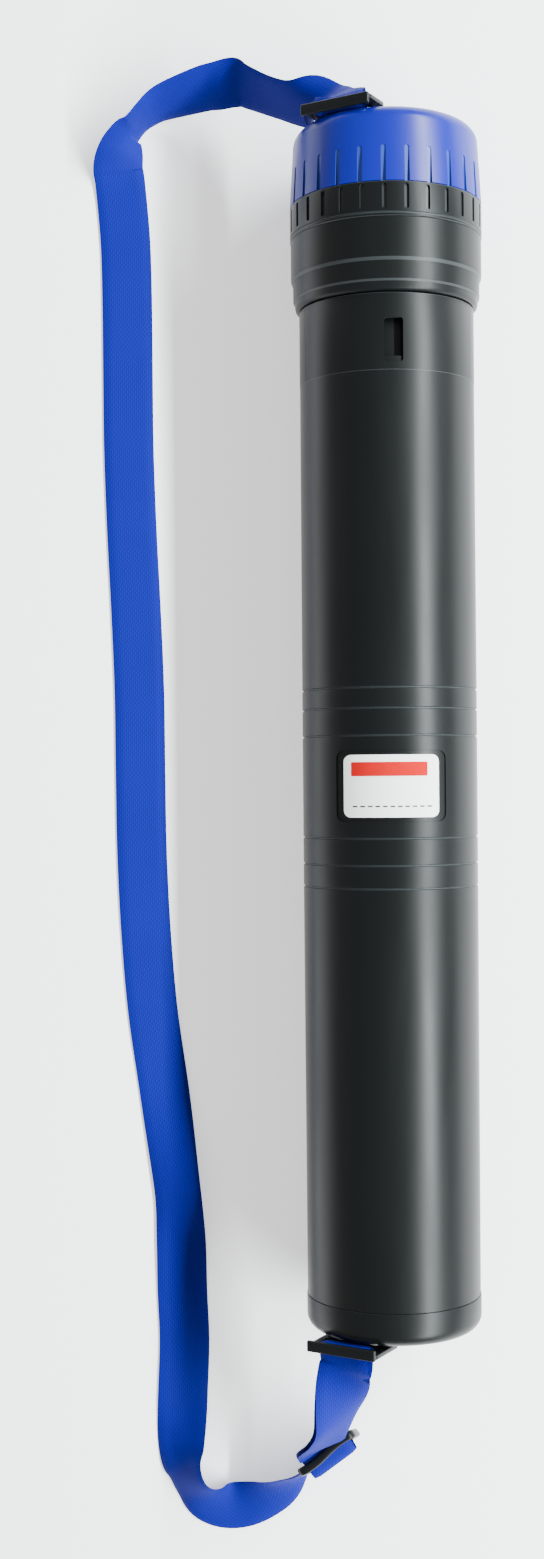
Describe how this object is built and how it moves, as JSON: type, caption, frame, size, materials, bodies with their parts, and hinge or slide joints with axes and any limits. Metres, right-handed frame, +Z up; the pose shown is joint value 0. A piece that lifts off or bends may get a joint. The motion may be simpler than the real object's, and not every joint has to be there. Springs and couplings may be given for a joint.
{
  "type": "drawing tube",
  "caption": "Telescopic plastic drawing tube with a slotted screw cap, a turning lock sleeve, a label recess and a webbing shoulder strap.",
  "frame": {"origin": "centre of the flat end face of the base, on the tube's axis", "axes": "+Y along the tube from its base to its screw cap, +Z up from the floor that the tube lies on, +X away from the strap"},
  "size_m": [0.2258, 0.8685, 0.1101],
  "materials": {
    "black_plastic": "moulded, satin gloss",
    "blue_plastic": "moulded, gloss",
    "grey_plastic": "moulded, matt",
    "white_label": "printed film, satin",
    "black_rubber": "matt",
    "zinc_steel": "zinc plated",
    "blue_webbing": "woven polypropylene webbing"
  },
  "bodies": {
    "outer_tube": {"outer_tube": "black_plastic", "label_card": "white_label", "base_cap": "black_plastic", "base_loop": "black_plastic", "base_rivet_left": "zinc_steel", "base_rivet_right": "zinc_steel", "slider": "black_plastic", "strap_main": "blue_webbing", "strap_lower": "blue_webbing", "strap_base_loop": "blue_webbing"},
    "lock_sleeve": {"lock_sleeve": "black_plastic"},
    "inner_tube": {"inner_tube": "black_plastic", "stop_ring": "grey_plastic", "head_collar": "black_plastic", "grip_ring": "black_plastic"},
    "cap_swivel": {"cap_loop": "black_plastic", "swivel_washer": "grey_plastic", "swivel_pin": "zinc_steel", "strap_cap_loop": "blue_webbing", "strap_upper": "blue_webbing"},
    "cap": {"cap": "blue_plastic", "cap_seal": "black_rubber"}
  },
  "joints": [
    {"name": "telescope", "type": "slide", "parent": "outer_tube", "child": "inner_tube", "axis": [0, 1, 0], "range_m": [0, 0.5]},
    {"name": "sleeve_turn", "type": "hinge", "parent": "outer_tube", "child": "lock_sleeve", "pos_m": [0, 0.56, 0], "axis": [0, 1, 0], "range_deg": [0, 34]},
    {"name": "cap_lift", "type": "slide", "parent": "inner_tube", "child": "cap_swivel", "axis": [0, 1, 0], "range_m": [0, 0.0721]},
    {"name": "cap_turn", "type": "hinge", "parent": "cap_swivel", "child": "cap", "pos_m": [0, 0.66, 0], "axis": [0, 1, 0], "range_deg": [0, 1080]}
  ],
  "couplings": [
    {"joint": "cap_lift", "follows": "cap_turn", "m_per_rad": 0.0038197}
  ]
}
